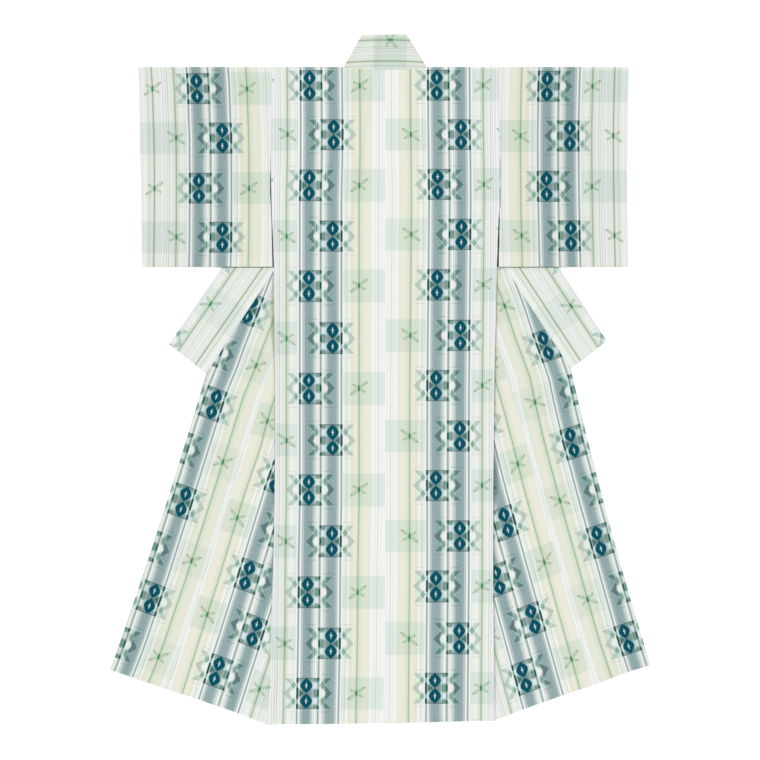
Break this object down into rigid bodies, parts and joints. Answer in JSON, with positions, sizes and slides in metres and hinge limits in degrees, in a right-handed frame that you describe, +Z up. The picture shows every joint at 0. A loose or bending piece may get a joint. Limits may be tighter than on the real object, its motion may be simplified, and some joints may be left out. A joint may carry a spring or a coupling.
{
  "type": "kimono",
  "caption": "Unlined kimono of striped summer cloth laid flat with its back up, fronts creased beneath and opened out at both sides, wide collar and square sleeves",
  "frame": {"origin": "on the floor, at the middle of the laid garment's outline", "axes": "+Y towards the collar, +Z up out of the outer face of the back, +X to the right seen from above"},
  "size_m": [1.3502, 1.7256, 0.0042],
  "materials": {
    "cloth_body": "matt",
    "cloth_okumi": "matt",
    "cloth_sleeve": "matt",
    "cloth_collar": "matt"
  },
  "bodies": {
    "root": {"body_left": "cloth_body", "body_right": "cloth_body", "okumi_left": "cloth_okumi", "okumi_right": "cloth_okumi", "sleeve_left": "cloth_sleeve", "sleeve_right": "cloth_sleeve", "collar_left": "cloth_collar", "collar_right": "cloth_collar", "collar_neck": "cloth_collar"}
  },
  "joints": []
}
